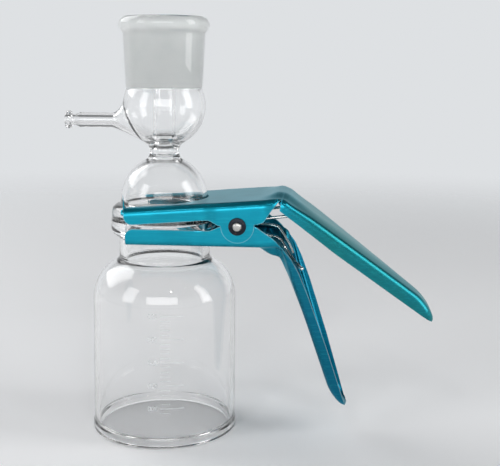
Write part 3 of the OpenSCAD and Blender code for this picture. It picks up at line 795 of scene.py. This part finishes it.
        # columns: web, fold, flange; y is the distance from the middle, h the height over the web line
        w = np.linspace(0, 1, 26)
        y_web = y0 + (wide - f - y0) * (1 - (1 - w) ** 1.3)
        side = np.maximum(low, LEAST_SIDE)
        q = np.linspace(0, 1, 13)[1:] * np.arccos(1 - np.minimum(side, f) / f)
        y_fold, h_fold = wide - f + f * np.sin(q), f - f * np.cos(q)
        flat = np.maximum(side - f, 0)
        flat = np.where(flat < LEAST_FLAT, 0, flat)
        v = np.linspace(0, 1, 8)[1:]
        y = np.concatenate([y_web, y_fold, np.broadcast_to(y_fold[:, -1:], (len(s), len(v)))], 1)
        h = -np.concatenate([0 * y_web, h_fold, h_fold[:, -1:] + flat * v], 1)
        along, across = y * np.sin(turn), y * np.cos(turn)
        over = s + along
        h = h - self.fall(over)
        move_x, move_z = self.swollen(s, over, y, wide, f)
        return np.stack([px + along * np.cos(slant) + h * np.sin(slant) + move_x, across,
                         pz - along * np.sin(slant) + h * np.cos(slant) + move_z], -1)


def lever(name, slot_name, body, flip, tilt, **sizes):
    """A pressed sheet lever: both halves, upside down where flip is -1, turned by tilt about the pin."""
    half = Pressing(**sizes).surface()
    co, faces = half.reshape(-1, 3), grid_faces(*half.shape[:2])
    pts = np.concatenate([co, co * (1, -1, 1)])
    faces = np.concatenate([faces, faces[:, ::-1] + len(co)])
    ca, sa = math.cos(math.radians(tilt)), math.sin(math.radians(tilt))
    ox, oz = pts[:, 0].copy(), pts[:, 2] * flip
    pts[:, 0], pts[:, 2] = PIVOT[0] + ox * ca - oz * sa, PIVOT[2] + ox * sa + oz * ca
    return finish_lever(mesh_object(name, pts, faces, body, merge=0.06))


def loops_of(mesh):
    """For every face corner: its edge, and the face it belongs to."""
    total = values(mesh.polygons, "loop_total", kind=int)
    return values(mesh.loops, "edge_index", kind=int), np.repeat(np.arange(len(total)), total)


def edge_ends(mesh):
    """Both end points of every edge, in millimetres."""
    return points_of(mesh)[values(mesh.edges, "vertices", 2, int)]


def rim_points(mesh):
    """Places along the open rim of a sheet, a fifth of an edge apart: the edges that one face uses."""
    edge = loops_of(mesh)[0]
    ends = edge_ends(mesh)[np.bincount(edge, minlength=len(mesh.edges)) == 1]
    w = np.linspace(0, 1, 6)[:-1, None, None]
    return (ends[:, 0] * (1 - w) + ends[:, 1] * w).reshape(-1, 3)


def nearest(points, rim):
    """Distance from each point to the nearest of the rim's: least |p|^2 + |q|^2 - 2 p.q, in slices."""
    far = (rim ** 2).sum(1)
    return np.concatenate([np.sqrt(np.maximum(((q ** 2).sum(1)[:, None] + far - 2 * q @ rim.T).min(1), 0))
                           for q in np.array_split(points, max(1, len(points) // 1500))])


def soften(obj, rim, width, angle, shortest):
    """Bevel on the rim's edges that are longer than shortest and whose faces turn by more than angle."""
    mesh = obj.data
    edge, face = loops_of(mesh)
    order = np.argsort(edge, kind="stable")
    first = np.searchsorted(edge[order], np.arange(len(mesh.edges)))
    shared = np.bincount(edge, minlength=len(mesh.edges)) == 2
    normal = values(mesh.polygons, "normal", 3)
    f0, f1 = face[order[first]], face[order[np.minimum(first + 1, len(order) - 1)]]
    ends = edge_ends(mesh)
    crisp = (shared & ((normal[f0] * normal[f1]).sum(1) < math.cos(angle))
             & (np.linalg.norm(ends[:, 0] - ends[:, 1], axis=1) > shortest))
    crisp[crisp] = nearest(ends[crisp].mean(1), rim) < 0.05
    marked(mesh, "bevel_weight_edge", "EDGE", crisp.astype(float))
    m = obj.modifiers.new("edges", "BEVEL")
    m.width, m.segments, m.limit_method = width * MM, 2, "WEIGHT"
    m.use_clamp_overlap = False
    baked(obj)


def finish_lever(obj):
    """Sheet thickness inward, softened edges, the pin's holes, and each point's distance from the rim."""
    rim = rim_points(obj.data)
    m = obj.modifiers.new("sheet", "SOLIDIFY")
    m.thickness, m.offset, m.use_even_offset = SHEET * MM, -1.0, False
    baked(obj)
    soften(obj, rim, width=0.25, angle=math.radians(45), shortest=0.2)
    n, r = 64, PIN_R + PIN_PLAY
    a = around(n)
    ring = np.stack([PIVOT[0] + r * np.cos(a), 0 * a, PIVOT[2] + r * np.sin(a)], 1)
    co = np.concatenate([ring - (0, 40, 0), ring + (0, 40, 0)])
    faces = ([[i, (i + 1) % n, n + (i + 1) % n, n + i] for i in range(n)]
             + [list(range(n))[::-1], list(range(n, 2 * n))])
    tool = linked("hole_tool", bpy.data.meshes.new("hole_tool"))
    tool.data.from_pydata((co * MM).tolist(), [], faces)
    cut(obj, tool)
    mesh = obj.data
    marked(mesh, "rim", "POINT", np.minimum(nearest(points_of(mesh), rim), RIM_REACH))
    mesh.polygons.foreach_set("use_smooth", [True] * len(mesh.polygons))
    mesh.set_sharp_from_angle(angle=math.radians(38))
    return obj


# ------------------------------------------------------------------ hinge
def about_pin(name, section, place_y, sides, closed):
    """A (radius, distance) section turned about the pin's axis; place_y turns the distance into y."""
    a = around(sides)
    co = np.stack([PIVOT[0] + section[:, 0, None] * np.cos(a),
                   np.broadcast_to(place_y(section[:, 1, None]), (len(section), sides)),
                   PIVOT[2] + section[:, 0, None] * np.sin(a)], -1)
    return skin(name, co, closed, "glassware")


def pin():
    """Plain pin whose ends are low domes with a rounded edge."""
    half = filleted([(0, PIN_HALF, 0), (1.2, PIN_HALF - 0.05, 1.0), (PIN_R - 0.3, PIN_HALF - 0.35, 0.6),
                     (PIN_R, PIN_HALF - 1.2, 0.5), (PIN_R, 0, 0)], 8)
    section = np.concatenate([half, (half[::-1] * (1, -1))[1:]])
    return about_pin("hinge_pin", section, lambda d: d, 64, False)


def retaining_ring(name, side):
    """Dished push-on ring: (radius, distance out) section, closed."""
    section = filleted([(RING_IN, 0.55, 0), (3.0, 0.05, 0.3), (RING_R, 0.0, 0.25), (RING_R, 0.6, 0.25),
                        (3.3, 0.75, 0.4), (RING_IN, RING_T, 0.1), (RING_IN, 0.6, 0)], 6)
    return about_pin(name, section, lambda d: side * (RING_Y + d), 72, True)


def rounded_path(points, radius, step=0.5):
    """A 3-D polyline with its corners turned into arcs of the given radius, points about step apart.

    An arc takes at most CORNER_SHARE of the shorter side; a corner all but straight is kept.
    """
    p = np.asarray(points, float)
    out = [p[:1]]
    for i in range(1, len(p) - 1):
        u, v = p[i - 1] - p[i], p[i + 1] - p[i]
        lu, lv = np.linalg.norm(u), np.linalg.norm(v)
        u, v = u / lu, v / lv
        half = math.acos(np.clip(u @ v, -1, 1)) / 2
        if half > math.pi / 2 - STRAIGHT:
            out.append(p[i:i + 1])
            continue
        r = min(radius, CORNER_SHARE * min(lu, lv) * math.tan(half))
        out.append(corner_arc(p[i], u, v, r, 10))
    out.append(p[-1:])
    return resampled(np.concatenate(out), step)


def leaving_angle(x, z, side):
    """Angle where the straight line to (x, z) touches the coil's circle, side -1 below or 1 above."""
    return math.atan2(z, x) + side * math.acos(COIL_R / math.hypot(x, z))


def spring(name, side, foot, over):
    """One half of the double torsion spring, from its foot on the lower handle to the top of its coil.

    foot lists the leg's corners out from the coil, beside the pin.  The coil runs outward along
    the pin, clockwise from the lower leg's touching point under the pin, round the back, to the
    upper leg's on top after four more turns.  The last part of it, inside the upper leg's own
    piece, is drawn a little thinner.
    """
    a0, a1 = leaving_angle(foot[0][0], foot[0][2], -1), leaving_angle(over[0][0], over[0][2], 1)
    a = np.linspace(a0, a1 - 2 * math.pi * TURNS, 48 * TURNS)
    u = (a0 - a) / (a0 - a[-1])
    coil = np.stack([COIL_R * np.cos(a), side * (LEG_Y + COIL_LONG * u), COIL_R * np.sin(a)], 1)
    leg = rounded_path([coil[0]] + list(foot), LEG_ROUND)
    path = np.concatenate([leg[:0:-1], coil]) + PIVOT
    thin = np.concatenate([0 * leg[1:, 0], smoothstep(a[-1] + math.radians(LAP) - a, 0, 0.03)])
    return swept(name, path, WIRE_R - THINNED * thin, "glassware")


def upper_legs(over):
    """The spring's upper legs and the crossbar that joins them and presses under the upper handle's web,
    with the first LAP - 1 degrees of coil at each end, round the coils' thinned ends."""
    a1 = leaving_angle(over[0][0], over[0][2], 1)
    a = np.linspace(a1 + math.radians(LAP - 1), a1, 12)
    end = LEG_Y + COIL_LONG
    arc_part = np.stack([COIL_R * np.cos(a), -end + 0 * a, COIL_R * np.sin(a)], 1)
    near = np.array([arc_part[-1]] + list(over))
    leg = rounded_path(np.concatenate([near, near[::-1] * (1, -1, 1)]), LEG_ROUND)
    path = np.concatenate([arc_part[:-1], leg, arc_part[:-1][::-1] * (1, -1, 1)]) + PIVOT
    return swept("spring_upper_legs", path, WIRE_R, "top_lever")


# ------------------------------------------------------------------ graduations
MARKS, FIRST_ML, ML_STEP, ML_PER_MM, FIRST_Z = 22, 100, 10, 4.1, 70.2
SHORT_MARK, LONG_MARK, LINE_HALF, FIGURE_SIZE, INK = 5.0, 12.0, 0.1, 3.6, 0.02
FIGURE_PLACE = (1.2, -1.25)
MARKS_AT = math.radians(-84.0)


def wrapped(flat, height):
    """Flat points (u, v) laid on the cup's wall upside down: angle = MARKS_AT - u / R, z = height - v."""
    r = CUP_R + INK
    a = MARKS_AT - flat[:, 0] / CUP_R
    return np.stack([r * np.cos(a), r * np.sin(a), height - flat[:, 1]], 1)


def figures(body):
    """The outline of a plain number as flat triangles, its left end at u = 0."""
    curve_data = bpy.data.curves.new("figures", "FONT")
    curve_data.body, curve_data.size = body, FIGURE_SIZE
    curve_data.align_x, curve_data.resolution_u = "LEFT", 3
    text = linked("figures", curve_data)
    bpy.context.view_layer.update()
    mesh = bpy.data.meshes.new_from_object(text.evaluated_get(bpy.context.evaluated_depsgraph_get()))
    co = values(mesh.vertices, "co", 3)[:, :2]
    faces = [list(f.vertices) for f in mesh.polygons]
    bpy.data.objects.remove(text)
    return co, faces


def graduations():
    """Volume marks every ML_STEP ml, longer at each fifth with its number: thin printing on the cup."""
    points, faces, count = [], [], 0
    for i in range(MARKS):
        z = FIRST_Z - ML_STEP * i / ML_PER_MM
        u = np.linspace(0, -(SHORT_MARK if i % 5 else LONG_MARK), 9)
        flat = np.concatenate([np.stack([u, 0 * u - LINE_HALF], 1), np.stack([u, 0 * u + LINE_HALF], 1)])
        points.append(wrapped(flat, z))
        faces += (grid_faces(2, len(u)) + count).tolist()
        count += len(flat)
        if i % 5 == 0:
            co, triangles = figures("%d" % (FIRST_ML + ML_STEP * i))
            points.append(wrapped(co + FIGURE_PLACE, z))
            faces += [[k + count for k in f] for f in triangles]
            count += len(co)
    obj = mesh_object("graduations", np.concatenate(points), [f[::-1] for f in faces], "glassware",
                      smooth=False)
    m = obj.modifiers.new("ink", "SOLIDIFY")
    m.thickness, m.offset = INK * MM, 0.0
    baked(obj)
    return obj


# ------------------------------------------------------------------ build
GLASS, BASE = clear_glass(), base_glass()
# the second colour of each is painted shade: the handle drawn darker from start to end in x, as its slanted
# flanges reflect darker surroundings
UPPER = anodised("anodised_upper", (0.006, 0.29, 0.41), (0.010, 0.20, 0.22), 0.060, 0.085)
LOWER = anodised("anodised_lower", (0.006, 0.29, 0.41), (0.004, 0.16, 0.27), 0.054, 0.074)
STEEL, DARK, WIRE = pin_steel(), ring_steel(), spring_wire()

f_obj = dressed(funnel(), GLASS)
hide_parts("funnel")
b_obj = dressed(filter_base(), BASE)
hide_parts("filter_base")

up = lever(
    "upper_lever_sheet", "anodised_upper", "top_lever", flip=1, tilt=4.5, web=12.3, half=32.3, joggle=1.0,
    bend=41.2, corner=23.7, bend_r=8.0, length=105.2, root_half=29.0, fold=(3.9, 3.8), root=-0.4,
    brow=16, drop=18,
    ear=[(8.6, 0.3), (10.0, 0.3), (13.5, 1.3), (17.7, 6.6), (20.9, 9.9), (22.9, 11.8), (30, 11.8)],
    depths=[(-3, 5.6), (3, 5.9), (15, 6.2), (28, 6.7), (40, 7.2), (104, 7.2)],
    swell=[(-14, 0, 0), (-8, 0, 0.7), (-3, 0, 1.9), (2, 1.1, 1.66), (10, 1.3, 1.5), (30, 1.4, 1.6),
           (60, 1.2, 1.4), (88, 0.9, 1.0), (104, 0.4, 0.45)])
dressed(up, UPPER)
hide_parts("upper_lever")
lo = lever(
    "lower_lever_sheet", "anodised_lower", "glassware", flip=-1, tilt=0.0, web=11.3, half=30.5, joggle=0.0,
    bend=-72.0, corner=22.1, bend_r=3.0, length=98.0, root_half=29.0, fold=(2.6, 3.2), root=2.2,
    brow=5, drop=17,
    ear=[(8.6, 0.2), (9.6, 0.5), (17.7, 6.3), (20.2, 8.6), (22.0, 10.7), (30, 10.7)],
    depths=[(0, 1.1), (2.2, 1.25), (4, 2.0), (8, 3.4), (16, 4.6), (30, 5.4), (60, 5.8), (96, 5.2)],
    swell=[(-12, 0, 0), (-9.8, 0, 1.6), (-7.2, 0, 3.4), (-4.2, -0.3, 4.8), (-2.2, -0.7, 5.2), (0, -1.3, 4.9),
           (2.2, -1.5, 3.9), (4, -1.6, 2.9), (6, -1.85, 2.1), (9, -2.0, 1.5), (12, -2.2, 1.0),
           (18, -2.2, 0.7), (42, -1.1, 0.35), (70, -1.3, 0.4), (86, -1.3, 0.4), (96, -0.6, 0.2)])
dressed(lo, LOWER)
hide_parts("lower_lever")

pin_obj = dressed(pin(), STEEL)
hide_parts("pivot_pin")
for name, side, node in (("near_ring", -1, "near_retaining_ring"), ("far_ring", 1, "far_retaining_ring")):
    ring = dressed(retaining_ring(name, side), DARK)
    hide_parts(node)

# corners of the spring's legs beside the pin
OVER = [(12.66, -18.5, 2.23), (23.6, -18.0, 3.56), (31.2, -17.5, 4.45)]
NEAR_FOOT = [(16.21, -14.5, -7.54), (18.8, -14.9, -7.8), (21.6, -15.7, -9.3), (24.88, -18.5, -14.06),
             (27.1, -21, -16.96), (29.84, -24.5, -19.62), (31.77, -28.0, -20.94), (33.14, -31.0, -21.06)]
FAR_FOOT = [(7.3, 13.5, -5.58), (13.97, 13.5, -6.01), (18.42, 13.5, -7.03), (21.4, 14.0, -11.27),
            (24.6, 15.0, -17.02), (26.6, 16.0, -21.69)]
for wire in (spring("spring_near_coil", -1, NEAR_FOOT, OVER), spring("spring_far_coil", 1, FAR_FOOT, OVER),
             upper_legs(OVER)):
    dressed(wire, WIRE)
    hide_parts("torsion_spring")
dressed(graduations(), white_print())

dressed(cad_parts["frit_disc"], sintered_glass())

# ------------------------------------------------------------------ stage
def plane(name, size, z):
    """A level square that only the stage holds, in metres."""
    mesh = bpy.data.meshes.new(name)
    s = size / 2
    mesh.from_pydata([(-s, -s, z), (s, -s, z), (s, s, z), (-s, s, z)], [], [(0, 1, 2, 3)])
    obj = linked(name, mesh)
    return obj


FLOOR_SIZE, FLOOR_Z = 7.0, -0.0004   # metres; just under the funnel's mouth
dressed(plane("floor", FLOOR_SIZE, FLOOR_Z), floor_paper())


def softbox(name, where, target, width, height, power):
    """A soft light, metres and watts, turned to the target and unseen by the camera."""
    light = bpy.data.lights.new(name, "AREA")
    light.shape, light.size, light.size_y = "RECTANGLE", width, height
    light.energy = power
    obj = linked(name, light)
    obj.location = where
    obj.rotation_euler = (Vector(target) - Vector(where)).to_track_quat("-Z", "Y").to_euler()
    obj.visible_camera = False


softbox("front", (0.12, -1.25, 0.42), (0.05, 0, 0.09), 1.2, 0.45, 5.5)
softbox("key", (-0.95, -0.75, 0.55), (0.03, 0, 0.11), 0.45, 0.8, 3.5)
softbox("left", (-1.0, 0.5, 0.9), (0.02, 0, 0.08), 1.0, 1.0, 8)
softbox("right", (1.2, -0.15, 0.55), (0.03, 0, 0.11), 0.5, 1.0, 6)
for i, (lx, ly, lz) in enumerate([(-0.25, -0.9, 0.95), (0.35, -0.95, 0.85), (0.75, -0.6, 1.0)]):
    softbox("spark_%d" % i, (lx, ly, lz), (0.02, 0, 0.11), 0.035, 0.035, 0.6)
bpy.context.scene.world = studio_light()

# the camera stands right, in front and up by these metres, all turned about the vertical by TURN
CAMERA_AT = (0.0463, -0.517, 0.1962)
TURN, PITCH, ROLL = math.radians(4.6), math.radians(6.79), math.radians(0.45)
cam_data = bpy.data.cameras.new("camera")
cam_data.sensor_width, cam_data.lens, cam_data.shift_y = 36.0, 69.16, -0.1
cam_data.clip_start, cam_data.clip_end = 0.01, 20
camera = linked("camera", cam_data)
about_z = Matrix.Rotation(TURN, 4, "Z")
camera.matrix_world = (Matrix.Translation(about_z @ Vector(CAMERA_AT)) @ about_z
                       @ Matrix.Rotation(math.radians(90) - PITCH, 4, "X") @ Matrix.Rotation(ROLL, 4, "Z"))
bpy.context.scene.camera = camera

bpy.context.scene.view_settings.view_transform = "Standard"
bpy.context.view_layer.update()
